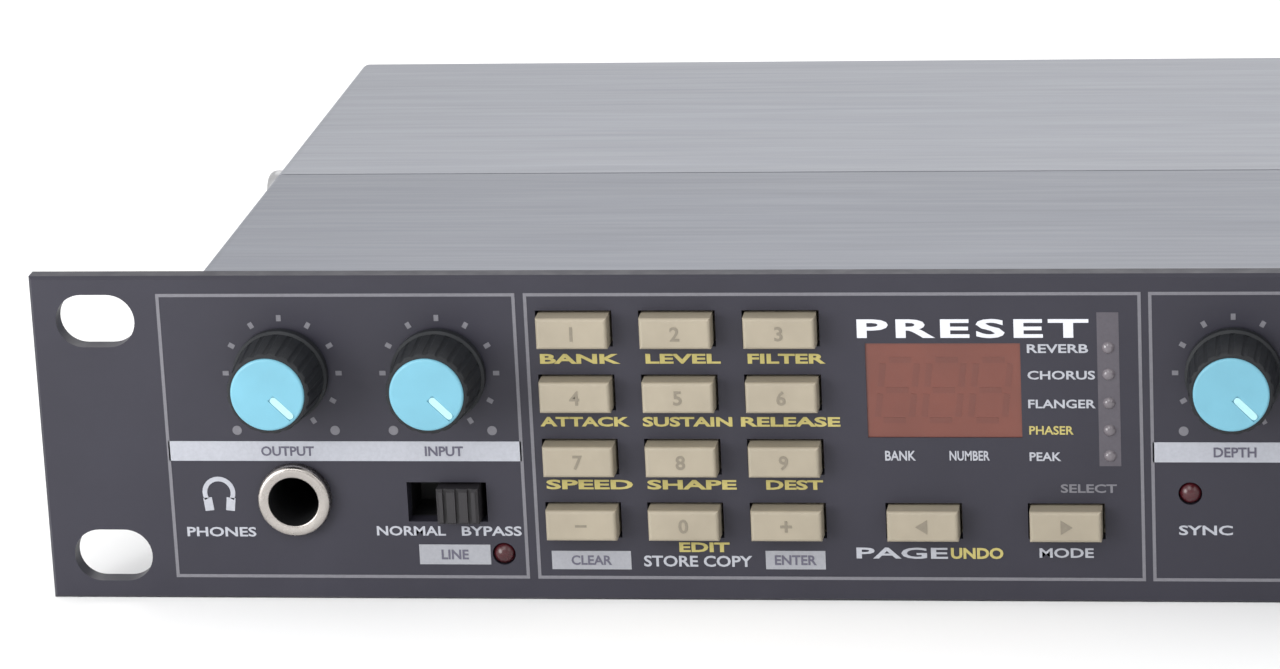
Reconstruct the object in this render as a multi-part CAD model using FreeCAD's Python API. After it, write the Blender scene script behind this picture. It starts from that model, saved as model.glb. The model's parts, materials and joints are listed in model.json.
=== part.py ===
import FreeCAD, Part
import math
import os

# Rack effects unit: a one-unit 19-inch case with a keypad, knobs, a display and rear sockets.
# Frame: +X to the right seen from the front, +Y to the back, +Z up, millimetres.
# The parts are drawn with the panel's front face at Y = 0. On export they all move along Y together,
# so the origin lies under the middle of the whole object, at the height of its flat underside.

# ---- driving dimensions -------------------------------------------------------------------------
PANEL_W = 482.6
PANEL_H = 43.6
PANEL_T = 2.5
PANEL_CHAMFER = 0.4
EAR_PITCH_X = 465.9
EAR_PITCH_Z = 31.75
EAR_SLOT_L = 10.3
EAR_SLOT_W = 7.0

CASE_W = 442.0
CASE_TOP = 42.0
CASE_BACK = 115.0
COVER_T = 1.0
TRAY_T = 1.2
TRAY_BEND_R = 0.96
SEAM_Y = 54.0
SEAM_GAP = 0.4
COVER_SKIRT = 18.0
COVER_BEND_R = 1.4
TRAY_W = CASE_W - 2 * COVER_T
TRAY_WALL_TOP = CASE_TOP - TRAY_T
REAR_Y = CASE_BACK - COVER_T
TONGUE_L = 8.0
LIP_H = 2.2
REAR_FLANGE_H = 8.0
REAR_TAB_L = 12.0
REAR_TAB_TOP = 24.0
VENT_COUNT = 9
VENT_PITCH = 5.0
VENT_W = 2.0
VENT_Y = 40.0
VENT_Z = (8.0, 20.0)

RUN_FIT = 0.05       # radial clearance of a shaft that turns in a bore
MOVE_GAP = 0.35      # clearance round a part that moves through an opening
PAST = 1.0           # how far a cutting shape runs past the material
ROOT = 1.0           # how far a fused boss reaches into its body
FINE = 0.01

KNOB_PITCH = 20.4
LEFT_KNOBS_X = (-209.0, -209.0 + KNOB_PITCH)
EFFECT_KNOB_X = -87.6
EFFECT_KNOB_COUNT = 5
KNOB_Z = 30.7
KNOB_BASE_R = 6.1
KNOB_TOP_R = 5.3
KNOB_FACE_Y = -8.9
KNOB_LIFT = 0.5
KNOB_SKIRT_T = 1.4
KNOB_EDGE = 0.3
KNOB_STEP = 0.35
KNOB_HUB_R = 3.1
KNOB_WALL = 1.1
KNOB_ROOF = 0.8
KNOB_STEM_R = 2.5
KNOB_FLUTES = 20
FLUTE_R = 0.55
FLUTE_FOOT_OUT = 0.05
FLUTE_HEAD_OUT = 0.32
CAP_R = 4.75
CAP_SEAT = 1.0
CAP_PROUD = 0.35
CAP_EDGE_R = 0.3
CAP_PEG_R = 1.2
CAP_PEG_L = 2.5
CAP_MARK_W = 1.0
CAP_MARK_R = (0.6, 4.4)
CAP_MARK_DEEP = 0.15
CAP_MARK_ANGLE = 135.0   # clockwise from the top, seen from the front

KEY_W = 9.1
KEY_H = 4.1
KEY_PROUD = 2.5
KEY_EDGE_R = 0.45
KEY_PITCH_X = 13.2
KEY_COLUMNS_X = tuple(-170.95 + column * KEY_PITCH_X for column in range(3))
KEY_ROWS_Z = (36.6, 28.1, 19.5, 10.95)
MODE_KEYS_X = (-127.15, -109.0)
KEY_FLANGE_W = 11.0
KEY_FLANGE_H = 5.4
KEY_FLANGE_T = 0.8
KEY_REST_GAP = 0.3
KEY_STEM_R = 1.7

BOARD_T = 1.6
CONTROL_Y = 10.5
CONTROL_W = 432.0
CONTROL_Z = (4.0, 40.4)
SWITCH_SIDE = 6.0
SWITCH_DEEP = 3.5
SWITCH_WELL = 1.6

POT_SIDE = 9.5
POT_H = 11.0
POT_COLLAR_R = 3.4
POT_FRONT_Y = 4.0
POT_COLLAR_Y = 2.9
POT_BORE_END_Y = CONTROL_Y - 1.0
STEM_END_Y = CONTROL_Y - 1.5

LED_R = 1.5
LED_RIM_R = 1.9
LED_PROUD = 0.5
LED_RIM_Y = 5.0
LED_RIM_T = 1.0
LED_LEG_SIDE = 0.5
LED_LEG_SPREAD = 0.6
LEFT_LED = (-181.55, 6.3)
LED_NOTCH_W = 5.0
LED_NOTCH_FLOOR = 2.8
EFFECT_LED = (-93.3, 14.7)
METER_X = 19.6
METER_Z = 30.7
METER_PITCH = 8.0
METER_COUNT = 8
STATUS_X = -103.3
STATUS_ROWS_Z = (34.0, 30.5, 26.7, 23.1, 19.7)
STATUS_R = 0.9
STATUS_RIM_R = 1.2

WINDOW_X = (-133.95, -114.35)
WINDOW_Z = (22.1, 34.6)
WINDOW_SINK = 0.2
WINDOW_T = 2.0
DISPLAY_GAP = 1.0
DISPLAY_EDGE = 0.5
DIGIT_W = 4.4
DIGIT_H = 8.0
DIGIT_PITCH = 5.8
SEGMENT_W = 0.9
SEGMENT_SUNK = 0.2
SEGMENT_RAISED = 0.3
DISPLAY_PIN_R = 0.4
DISPLAY_PIN_PITCH = 3.0
DISPLAY_PIN_ROW_Z = 5.0

JACK_X = -208.35
JACK_Z = 13.8
JACK_BORE_R = 3.25
JACK_BUSH_R = 4.1
JACK_RING_R = 4.75
JACK_RING_T = 1.5
JACK_RING_EDGE_R = 0.35
JACK_BODY_W = 15.0
JACK_BODY_H = 14.0
JACK_FRONT_Y = 4.0
JACK_DEEP = 29.0
JACK_BORE_DEEP = 27.5
JACK_ROOM = 1.0
JACK_ROOM_BACK_Y = 35.0

SLIDE_X = (-193.75, -183.4)
SLIDE_Z = (10.65, 16.0)
SLIDE_FRONT_Y = 2.7
SLIDE_WALL_X = 2.0
SLIDE_WALL_Z = 1.2
SLIDE_FLOOR_T = 1.5
LEVER_W = 5.4
LEVER_PROUD = 2.2
LEVER_STOP_GAP = 0.8
LEVER_GAP = 0.3
LEVER_BACK_GAP = 0.5
LEVER_EDGE = 0.35
LEVER_GROOVE = 0.5
LEVER_GROOVES_X = (-1.6, 0.0, 1.6)

REAR_JACKS_X = (-60.0, -85.0, -135.0, -160.0)
REAR_JACK_Z = 15.5
REAR_JACK_H = 15.0
REAR_BUSH_R = 4.5
REAR_BUSH_PROUD = 3.5
REAR_NUT_FLATS = 11.0
REAR_NUT_T = 2.4
DIN_X = (45.0, 70.0, 95.0)
DIN_Z = 17.0
DIN_R = 7.5
DIN_BODY_W = 19.0
DIN_BODY_H = 17.0
SOCKET_DEEP = 14.0
DIN_LIP = 0.8
DIN_RECESS_R = 6.9
DIN_RECESS_DEEP = 5.0
DIN_INSERT_R = 5.9
DIN_KEY_W = 2.4
DIN_KEY_H = 1.8
DIN_KEY_DROP = 5.6
DIN_CONTACT_R = 0.75
DIN_CONTACT_RING_R = 3.75
DIN_CONTACT_ANGLES = (0, 45, 90, 135, 180)
DC_X = 150.0
DC_Z = 15.0
DC_BODY_W = 10.0
DC_BODY_H = 14.0
DC_LIP = 0.6
DC_NOZZLE_R = 4.0
DC_BORE_R = 2.75
DC_BORE_DEEP = 9.0
DC_PIN_R = 1.0
ROCKER_X = 185.0
ROCKER_Z = 20.0
ROCKER_R = 8.0
ROCKER_HALF_H = 5.0
ROCKER_TILT = 10.0
ROCKER_PIVOT_Y = REAR_Y - 0.5
ROCKER_VALLEY = 2.0
ROCKER_GAP = 0.3
ROCKER_SIDE_Y = -1.5
ROCKER_FOOT_Y = -4.0
ROCKER_FOOT_W = 4.0
ROCKER_POCKET = 7.0
ROCKER_STUB_R = 1.0
ROCKER_STUB_L = 1.0
ROCKER_STUB_GAP = 0.1
BEZEL_W = 21.0
BEZEL_H = 15.0
BEZEL_T = 2.0
BEZEL_EDGE_R = 0.8
POWER_BODY_W = 19.0
POWER_BODY_H = 12.8
POWER_BODY_DEEP = 16.0

M3_R = 1.5
M3_HEAD_R = 2.9
M3_HEAD_T = 2.1
M3_DOME_R = 1.15
M3_CLEAR_R = 1.7
M3_NUT_FLATS = 5.5
M3_NUT_T = 2.4
RECESS_W = 0.7
RECESS_L = 3.2
RECESS_DEEP = 1.2
CASE_SCREW_L = 6.0
BOARD_SCREW_L = 5.0
SIDE_SCREW = (60.0, 38.0)
REAR_SIDE_SCREWS = ((107.0, 8.0), (107.0, 18.0))
REAR_TOP_SCREWS_X = (-200.0, 0.0, 200.0)
REAR_TOP_SCREW_Z = 38.0
STUDS_X = (-150.0, -60.0, 30.0, 120.0, 205.0)
STUD_Z = 4.8
STUD_SUNK = 1.2
STUD_END_Y = 8.0
FLANGE_H = 7.6
FLANGE_START_X = -199.0

MAIN_BOARD_X = (-205.0, 205.0)
MAIN_BOARD_Y = (16.0, 110.0)
MAIN_BOARD_Z = 6.2
MAIN_BOARD_TOP = MAIN_BOARD_Z + BOARD_T
STANDOFF_FLATS = 5.5
STANDOFFS = tuple((x, y) for x in (-185.0, 10.0, 198.0) for y in (44.0, 84.0))
HEADERS_X = (-60.0, 60.0)
HEADER_L = 50.0
HEADER_SIDE = 8.0
HEADER_WALL = 2.0
HEADER_SLOT_H = 2.5
HEADER_SLOT_END = 1.0

# Chips: middle X, middle Y, width, depth. Capacitors: X, Y, radius, height.
CHIPS = ((-120.0, 60.0, 24.0, 24.0), (-70.0, 62.0, 18.0, 12.0), (-70.0, 44.0, 18.0, 12.0),
         (-20.0, 60.0, 28.0, 14.0), (45.0, 60.0, 20.0, 20.0), (90.0, 62.0, 14.0, 9.0))
CHIP_T = 3.0
CHIP_EDGE = 0.4
CANS = ((160.0, 78.0, 6.3, 25.0), (160.0, 62.0, 6.3, 25.0), (142.0, 70.0, 5.0, 20.0),
        (125.0, 70.0, 4.0, 12.0), (-150.0, 60.0, 4.0, 11.0), (-150.0, 48.0, 4.0, 11.0))
CAN_EDGE_R = 0.6

AXIS_X = FreeCAD.Vector(1, 0, 0)
AXIS_Y = FreeCAD.Vector(0, 1, 0)
AXIS_Z = FreeCAD.Vector(0, 0, 1)
SIDES = (-1, 1)


# ---- small shape helpers ------------------------------------------------------------------------
def box(x, y, z):
    """Box between two limits on each axis."""
    corner = FreeCAD.Vector(min(x), min(y), min(z))
    return Part.makeBox(abs(x[1] - x[0]), abs(y[1] - y[0]), abs(z[1] - z[0]), corner)


def centred(x, width, z, height, y):
    """Box centred on a panel position, between two depths."""
    return box((x - width / 2, x + width / 2), y, (z - height / 2, z + height / 2))


def rod_y(x, z, y, radius):
    """Cylinder along Y between two depths."""
    return Part.makeCylinder(radius, y[1] - y[0], FreeCAD.Vector(x, y[0], z), AXIS_Y)


def rod_z(x, y, z, radius):
    """Upright cylinder between two heights."""
    return Part.makeCylinder(radius, z[1] - z[0], FreeCAD.Vector(x, y, z[0]), AXIS_Z)


def rod_out(side, x, y, z, radius):
    """Cylinder along X on one side of the case, between two distances from the middle."""
    return Part.makeCylinder(radius, x[1] - x[0], FreeCAD.Vector(side * x[0], y, z), AXIS_X * side)


def join(shapes):
    """Fuse shapes into one clean solid."""
    whole = shapes[0]
    for shape in shapes[1:]:
        whole = whole.fuse(shape)
    return whole.removeSplitter()


def carve(shape, tools):
    """Cut every tool out of a shape."""
    return shape.cut(Part.makeCompound(tools))


def moved(shape, x=0.0, y=0.0, z=0.0):
    """Copy of a shape at another place."""
    copy = shape.copy()
    copy.translate(FreeCAD.Vector(x, y, z))
    return copy


def hexagon(flats, height):
    """Hexagonal bar standing on Z = 0."""
    reach = flats / math.sqrt(3)
    angles = [math.radians(60 * i) for i in range(7)]
    corners = [FreeCAD.Vector(reach * math.cos(a), reach * math.sin(a), 0) for a in angles]
    return Part.Face(Part.makePolygon(corners)).extrude(FreeCAD.Vector(0, 0, height))


def edges_where(shape, test):
    """Edges whose every vertex passes a test."""
    return [edge for edge in shape.Edges if edge.Vertexes and all(test(v.Point) for v in edge.Vertexes)]


def pan_screw(length):
    """Cross-recess pan-head screw: head above Z = 0, shank below."""
    head = Part.makeCylinder(M3_HEAD_R, M3_HEAD_T)
    head = head.makeFillet(M3_DOME_R, edges_where(head, lambda p: abs(p.z - M3_HEAD_T) < FINE))
    shank = Part.makeCylinder(M3_R, length, FreeCAD.Vector(0, 0, -length))
    half_l = RECESS_L / 2
    half_w = RECESS_W / 2
    depth = (M3_HEAD_T - RECESS_DEEP, M3_HEAD_T + PAST)
    long_x = box((-half_l, half_l), (-half_w, half_w), depth)
    long_y = box((-half_w, half_w), (-half_l, half_l), depth)
    return carve(join([head, shank]), [long_x, long_y])


def aimed(shape, direction, x, y, z):
    """Copy of a shape drawn along +Z, turned to a direction and placed."""
    copy = shape.copy()
    turn = FreeCAD.Rotation(AXIS_Z, FreeCAD.Vector(*direction))
    copy.Placement = FreeCAD.Placement(FreeCAD.Vector(x, y, z), turn)
    return copy


def ear_slot(x, z, y):
    """Racetrack slot through the panel, long side along X."""
    half = (EAR_SLOT_L - EAR_SLOT_W) / 2
    radius = EAR_SLOT_W / 2
    middle = centred(x, 2 * half, z, EAR_SLOT_W, y)
    return join([middle, rod_y(x - half, z, y, radius), rod_y(x + half, z, y, radius)])


# ---- places that several parts share --------------------------------------------------------------
KNOBS_X = LEFT_KNOBS_X + tuple(EFFECT_KNOB_X + i * KNOB_PITCH for i in range(EFFECT_KNOB_COUNT))
KEYS = [(x, z) for z in KEY_ROWS_Z for x in KEY_COLUMNS_X] + [(x, KEY_ROWS_Z[-1]) for x in MODE_KEYS_X]
LEDS = [LEFT_LED]
LEDS += [(EFFECT_LED[0] + i * KNOB_PITCH, EFFECT_LED[1]) for i in range(EFFECT_KNOB_COUNT)]
LEDS += [(METER_X + i * METER_PITCH, METER_Z) for i in range(METER_COUNT)]
STATUS_LEDS = [(STATUS_X, z) for z in STATUS_ROWS_Z]
SLIDE_MID = (sum(SLIDE_X) / 2, sum(SLIDE_Z) / 2)
WINDOW_MID = (sum(WINDOW_X) / 2, sum(WINDOW_Z) / 2)
PANEL_MID_Z = PANEL_H / 2


# ---- enclosure ----------------------------------------------------------------------------------
def front_panel():
    """Flat aluminium front panel with slotted ears and every opening of the controls."""
    plate = box((-PANEL_W / 2, PANEL_W / 2), (0, PANEL_T), (0, PANEL_H))
    plate = plate.makeChamfer(PANEL_CHAMFER, edges_where(plate, lambda p: p.y < FINE))
    through = (-PAST, PANEL_T + PAST)
    tools = [ear_slot(sx * EAR_PITCH_X / 2, PANEL_MID_Z + sz * EAR_PITCH_Z / 2, through)
             for sx in SIDES for sz in SIDES]
    tools += [rod_y(x, KNOB_Z, through, KNOB_STEM_R + MOVE_GAP) for x in KNOBS_X]
    tools += [centred(x, KEY_W + 2 * MOVE_GAP, z, KEY_H + 2 * MOVE_GAP, through) for x, z in KEYS]
    tools += [rod_y(x, z, through, LED_R) for x, z in LEDS]
    tools += [rod_y(x, z, through, STATUS_R) for x, z in STATUS_LEDS]
    tools += [box(WINDOW_X, through, WINDOW_Z), box(SLIDE_X, through, SLIDE_Z)]
    tools += [rod_y(JACK_X, JACK_Z, through, JACK_BUSH_R)]
    tools += [rod_y(x, STUD_Z, (PANEL_T - STUD_SUNK, PANEL_T), M3_R) for x in STUDS_X]
    return carve(plate, tools)


def base_tray():
    """Folded steel tray: floor, two vented side walls and a front flange for the panel studs."""
    half = TRAY_W / 2
    floor = box((-half, half), (PANEL_T, REAR_Y), (0, TRAY_T))
    walls = [box((side * half, side * (half - TRAY_T)), (PANEL_T, REAR_Y), (0, TRAY_WALL_TOP))
             for side in SIDES]
    flange = box((FLANGE_START_X, half), (PANEL_T, PANEL_T + TRAY_T), (0, FLANGE_H))
    tray = join([floor, flange] + walls)
    bend = edges_where(tray, lambda p: p.z < FINE and abs(abs(p.x) - half) < FINE)
    tray = tray.makeFillet(TRAY_BEND_R, bend)
    reach = (half - TRAY_T - PAST, half + PAST)
    tools = []
    for side in SIDES:
        tools += [rod_out(side, reach, y, z, M3_R) for y, z in (SIDE_SCREW,) + REAR_SIDE_SCREWS]
        for i in range(VENT_COUNT):
            y = VENT_Y + i * VENT_PITCH
            tools.append(box((side * reach[0], side * reach[1]), (y, y + VENT_W), VENT_Z))
    through = (PANEL_T - PAST, PANEL_T + TRAY_T + PAST)
    tools += [rod_y(x, STUD_Z, through, M3_CLEAR_R) for x in STUDS_X]
    led_x = LEFT_LED[0]
    tools.append(box((led_x - LED_NOTCH_W / 2, led_x + LED_NOTCH_W / 2), through,
                     (LED_NOTCH_FLOOR, FLANGE_H + PAST)))
    return carve(tray, tools)


def rear_panel():
    """Rear wall with socket holes, folded side tabs and tapped holes for the cover screws."""
    inner = TRAY_W / 2 - TRAY_T
    wall = box((-inner, inner), (REAR_Y - TRAY_T, REAR_Y), (TRAY_T, TRAY_WALL_TOP))
    tab_y = (REAR_Y - REAR_TAB_L, REAR_Y)
    tabs = [box((side * inner, side * (inner - TRAY_T)), tab_y, (TRAY_T, REAR_TAB_TOP)) for side in SIDES]
    through = (REAR_Y - TRAY_T - PAST, REAR_Y + PAST)
    tools = [rod_y(x, REAR_JACK_Z, through, REAR_BUSH_R) for x in REAR_JACKS_X]
    tools += [rod_y(x, DIN_Z, through, DIN_R) for x in DIN_X]
    tools += [rod_y(DC_X, DC_Z, through, DC_NOZZLE_R)]
    tools += [centred(ROCKER_X, POWER_BODY_W, ROCKER_Z, POWER_BODY_H, through)]
    tools += [rod_y(x, REAR_TOP_SCREW_Z, through, M3_R) for x in REAR_TOP_SCREWS_X]
    tab = (inner - TRAY_T - PAST, inner + PAST)
    tools += [rod_out(side, tab, y, z, M3_R) for side in SIDES for y, z in REAR_SIDE_SCREWS]
    return carve(join([wall] + tabs), tools)


def cap_sheet(y):
    """Top sheet with folded side skirts between two depths, bends rounded."""
    half = CASE_W / 2
    foot = CASE_TOP - COVER_SKIRT
    outer = box((-half, half), y, (foot, CASE_TOP))
    bends = edges_where(outer, lambda p: abs(p.z - CASE_TOP) < FINE)
    long_bends = [edge for edge in bends if abs(edge.Vertexes[0].Point.x - edge.Vertexes[1].Point.x) < FINE]
    outer = outer.makeFillet(COVER_BEND_R, long_bends)
    inner = half - COVER_T
    return outer.cut(box((-inner, inner), (y[0] - PAST, y[1] + PAST), (foot - PAST, CASE_TOP - COVER_T)))


def front_deck():
    """Fixed front part of the lid, with a lip behind the panel and a joggled tongue under the cover."""
    sheet = cap_sheet((PANEL_T, SEAM_Y))
    inner = TRAY_W / 2 - TRAY_T - MOVE_GAP
    lip = box((-inner, inner), (PANEL_T, PANEL_T + COVER_T), (CASE_TOP - LIP_H, CASE_TOP - COVER_T / 2))
    tongue_top = CASE_TOP - COVER_T
    tongue = box((-inner, inner), (SEAM_Y - TONGUE_L, SEAM_Y + TONGUE_L), (tongue_top - COVER_T, tongue_top))
    return join([sheet, lip, tongue])


def top_cover():
    """Removable rear part of the lid, screwed at both sides and through its rear flange."""
    sheet = cap_sheet((SEAM_Y + SEAM_GAP, CASE_BACK))
    inner = CASE_W / 2 - COVER_T
    flange = box((-inner, inner), (REAR_Y, CASE_BACK), (CASE_TOP - REAR_FLANGE_H, CASE_TOP - COVER_T / 2))
    through = (REAR_Y - PAST, CASE_BACK + PAST)
    tools = [rod_y(x, REAR_TOP_SCREW_Z, through, M3_CLEAR_R) for x in REAR_TOP_SCREWS_X]
    reach = (inner - PAST, inner + COVER_T + PAST)
    tools += [rod_out(side, reach, *SIDE_SCREW, M3_CLEAR_R) for side in SIDES]
    return carve(join([sheet, flange]), tools)


def case_screws():
    """Nine identical pan-head screws: cover sides, rear panel tabs and rear flange."""
    screw = pan_screw(CASE_SCREW_L)
    screws = []
    for side in SIDES:
        screws.append(aimed(screw, (side, 0, 0), side * CASE_W / 2, *SIDE_SCREW))
        screws += [aimed(screw, (side, 0, 0), side * TRAY_W / 2, y, z) for y, z in REAR_SIDE_SCREWS]
    screws += [aimed(screw, (0, 1, 0), x, CASE_BACK, REAR_TOP_SCREW_Z) for x in REAR_TOP_SCREWS_X]
    return Part.makeCompound(screws)


def panel_studs():
    """Studs pressed into the back of the front panel."""
    return Part.makeCompound([rod_y(x, STUD_Z, (PANEL_T - STUD_SUNK, STUD_END_Y), M3_R) for x in STUDS_X])


def panel_nuts():
    """Nuts that clamp the tray flange to the panel studs."""
    nut = hexagon(M3_NUT_FLATS, M3_NUT_T).cut(Part.makeCylinder(M3_R, M3_NUT_T))
    return Part.makeCompound([aimed(nut, (0, 1, 0), x, PANEL_T + TRAY_T, STUD_Z) for x in STUDS_X])


# ---- boards and what they carry -------------------------------------------------------------------
def main_board():
    """Main circuit board, flat above the tray floor, with a notch beside the phones jack."""
    board = box(MAIN_BOARD_X, MAIN_BOARD_Y, (MAIN_BOARD_Z, MAIN_BOARD_TOP))
    through = (MAIN_BOARD_Z - PAST, MAIN_BOARD_TOP + PAST)
    notch = box((MAIN_BOARD_X[0] - PAST, JACK_X + JACK_BODY_W / 2 + JACK_ROOM),
                (MAIN_BOARD_Y[0] - PAST, JACK_ROOM_BACK_Y), through)
    return carve(board, [notch] + [rod_z(x, y, through, M3_CLEAR_R) for x, y in STANDOFFS])


def board_standoffs():
    """Hexagonal tapped pillars clinched into the tray floor."""
    height = MAIN_BOARD_Z - TRAY_T
    pillar = hexagon(STANDOFF_FLATS, height).cut(Part.makeCylinder(M3_R, height))
    return Part.makeCompound([moved(pillar, x, y, TRAY_T) for x, y in STANDOFFS])


def board_screws():
    """Pan-head screws that hold the main board on its pillars."""
    screw = pan_screw(BOARD_SCREW_L)
    return Part.makeCompound([moved(screw, x, y, MAIN_BOARD_TOP) for x, y in STANDOFFS])


def control_board():
    """Upright board behind the panel that carries keys, pots, LEDs and the display."""
    half = CONTROL_W / 2
    depth = (CONTROL_Y, CONTROL_Y + BOARD_T)
    board = box((-half, half), depth, CONTROL_Z)
    jack_room = box((-half - PAST, JACK_X + JACK_BODY_W / 2 + JACK_ROOM), (depth[0] - PAST, depth[1] + PAST),
                    (CONTROL_Z[0] - PAST, JACK_Z + JACK_BODY_H / 2 + JACK_ROOM))
    return board.cut(jack_room)


def board_header():
    """Right-angle pin headers that join the control board to the main board."""
    front = CONTROL_Y + BOARD_T
    mid_z = MAIN_BOARD_TOP + HEADER_SIDE / 2
    slot_y = (front + HEADER_SLOT_END, front + HEADER_SIDE - HEADER_SLOT_END)
    strips = []
    for x in HEADERS_X:
        strip = centred(x, HEADER_L, mid_z, HEADER_SIDE, (front, front + HEADER_SIDE))
        strips.append(strip.cut(centred(x, HEADER_L - 2 * HEADER_WALL, mid_z, HEADER_SLOT_H, slot_y)))
    return Part.makeCompound(strips)


def pot_bodies():
    """Board-mounted potentiometers, each with a collar whose bore takes the knob's stem."""
    pots = []
    for x in KNOBS_X:
        body = centred(x, POT_SIDE, KNOB_Z, POT_H, (POT_FRONT_Y, CONTROL_Y))
        collar = rod_y(x, KNOB_Z, (POT_COLLAR_Y, POT_FRONT_Y + ROOT), POT_COLLAR_R)
        bore = rod_y(x, KNOB_Z, (POT_COLLAR_Y - PAST, POT_BORE_END_Y), KNOB_STEM_R + RUN_FIT)
        pots.append(join([body, collar]).cut(bore))
    return Part.makeCompound(pots)


def tact_switches():
    """Square board switches, each with a well that the key's stem presses into."""
    front = CONTROL_Y - SWITCH_DEEP
    switches = []
    for x, z in KEYS:
        body = centred(x, SWITCH_SIDE, z, SWITCH_SIDE, (front, CONTROL_Y))
        switches.append(body.cut(rod_y(x, z, (front - PAST, front + SWITCH_WELL), KEY_STEM_R + MOVE_GAP)))
    return Part.makeCompound(switches)


def digit_segments(x, z, y):
    """The seven raised bars of one digit, about a centre and between two depths."""
    across = [centred(x, DIGIT_W - 2 * SEGMENT_W, z + row * DIGIT_H / 2, SEGMENT_W, y) for row in (-1, 0, 1)]
    tall = DIGIT_H / 2 - 2 * SEGMENT_W
    upright = [centred(x + side * DIGIT_W / 2, SEGMENT_W, z + row * DIGIT_H / 4, tall, y)
               for side in SIDES for row in SIDES]
    return across + upright


def display_module():
    """Seven-segment display block behind the window, with its digits as shallow raised bars."""
    x_mid, z_mid = WINDOW_MID
    front = WINDOW_SINK + WINDOW_T + DISPLAY_GAP
    back = CONTROL_Y - DISPLAY_GAP
    block = box((WINDOW_X[0] + DISPLAY_EDGE, WINDOW_X[1] - DISPLAY_EDGE), (front, back), WINDOW_Z)
    pins = [rod_y(x_mid + column * DISPLAY_PIN_PITCH, z_mid + row * DISPLAY_PIN_ROW_Z,
                  (back - ROOT / 2, CONTROL_Y), DISPLAY_PIN_R) for column in range(-2, 3) for row in SIDES]
    depth = (front - SEGMENT_RAISED, front + SEGMENT_SUNK)
    bars = []
    for column in (-1, 0, 1):
        bars += digit_segments(x_mid + column * DIGIT_PITCH, z_mid, depth)
    return join([block] + pins + bars)


def display_window():
    """Dark red filter pane seated in the panel opening."""
    return box(WINDOW_X, (WINDOW_SINK, WINDOW_SINK + WINDOW_T), WINDOW_Z)


def led(x, z, radius, rim_radius):
    """Round-nosed indicator with a rim and two legs that reach the control board."""
    rim_back = LED_RIM_Y + LED_RIM_T
    centre_y = radius - LED_PROUD
    nose = Part.makeSphere(radius, FreeCAD.Vector(x, centre_y, z))
    barrel = rod_y(x, z, (centre_y, rim_back), radius)
    rim = rod_y(x, z, (LED_RIM_Y, rim_back), rim_radius)
    legs = [centred(x + side * radius * LED_LEG_SPREAD, LED_LEG_SIDE, z, LED_LEG_SIDE,
                    (rim_back - LED_RIM_T / 2, CONTROL_Y)) for side in SIDES]
    return join([nose, barrel, rim] + legs)


def indicator_leds():
    """Round red indicators: left section, one per effect knob and the level meter row."""
    return Part.makeCompound([led(x, z, LED_R, LED_RIM_R) for x, z in LEDS])


def status_leds():
    """Small column of status lamps beside the display."""
    return Part.makeCompound([led(x, z, STATUS_R, STATUS_RIM_R) for x, z in STATUS_LEDS])


def phones_jack_body():
    """Quarter-inch headphone jack: housing, threaded bushing and one straight bore."""
    housing = centred(JACK_X, JACK_BODY_W, JACK_Z, JACK_BODY_H, (JACK_FRONT_Y, JACK_DEEP))
    bushing = rod_y(JACK_X, JACK_Z, (-JACK_RING_T, JACK_FRONT_Y + ROOT), JACK_BUSH_R)
    bore = rod_y(JACK_X, JACK_Z, (-JACK_RING_T - PAST, JACK_BORE_DEEP), JACK_BORE_R)
    return join([housing, bushing]).cut(bore)


def phones_jack_ring():
    """Round plated ring nut on the phones jack, against the panel."""
    ring = rod_y(JACK_X, JACK_Z, (-JACK_RING_T, 0), JACK_RING_R)
    ring = ring.makeFillet(JACK_RING_EDGE_R, edges_where(ring, lambda p: p.y < FINE - JACK_RING_T))
    return ring.cut(rod_y(JACK_X, JACK_Z, (-JACK_RING_T - PAST, PAST), JACK_BUSH_R))


def slide_switch_body():
    """Slide switch frame with the channel that guides its lever."""
    x, z = SLIDE_MID
    width = SLIDE_X[1] - SLIDE_X[0]
    height = SLIDE_Z[1] - SLIDE_Z[0]
    frame = centred(x, width + 2 * SLIDE_WALL_X, z, height + 2 * SLIDE_WALL_Z, (SLIDE_FRONT_Y, CONTROL_Y))
    return frame.cut(centred(x, width, z, height, (SLIDE_FRONT_Y - PAST, CONTROL_Y - SLIDE_FLOOR_T)))


def slide_switch_lever():
    """Ribbed lever of the slide switch, at its right-hand stop."""
    x = SLIDE_X[1] - LEVER_STOP_GAP - LEVER_W / 2
    z = SLIDE_MID[1]
    height = SLIDE_Z[1] - SLIDE_Z[0] - 2 * LEVER_GAP
    lever = centred(x, LEVER_W, z, height, (-LEVER_PROUD, CONTROL_Y - SLIDE_FLOOR_T - LEVER_BACK_GAP))
    lever = lever.makeChamfer(LEVER_EDGE, edges_where(lever, lambda p: p.y < FINE - LEVER_PROUD))
    depth = (-LEVER_PROUD - PAST, LEVER_GROOVE - LEVER_PROUD)
    return carve(lever, [centred(x + dx, LEVER_GROOVE, z, height + PAST, depth) for dx in LEVER_GROOVES_X])


def processor_chips():
    """Flat packages on the main board: processor, memories and converters."""
    top = MAIN_BOARD_TOP + CHIP_T
    chips = []
    for x, y, width, depth in CHIPS:
        body = box((x - width / 2, x + width / 2), (y - depth / 2, y + depth / 2), (MAIN_BOARD_TOP, top))
        chips.append(body.makeChamfer(CHIP_EDGE, edges_where(body, lambda p: p.z > top - FINE)))
    return Part.makeCompound(chips)


def capacitors():
    """Upright electrolytic capacitors of the supply section."""
    cans = []
    for x, y, radius, height in CANS:
        can = rod_z(x, y, (MAIN_BOARD_TOP, MAIN_BOARD_TOP + height), radius)
        cans.append(can.makeFillet(CAN_EDGE_R, edges_where(can, lambda p: p.z > MAIN_BOARD_TOP + FINE)))
    return Part.makeCompound(cans)


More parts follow.
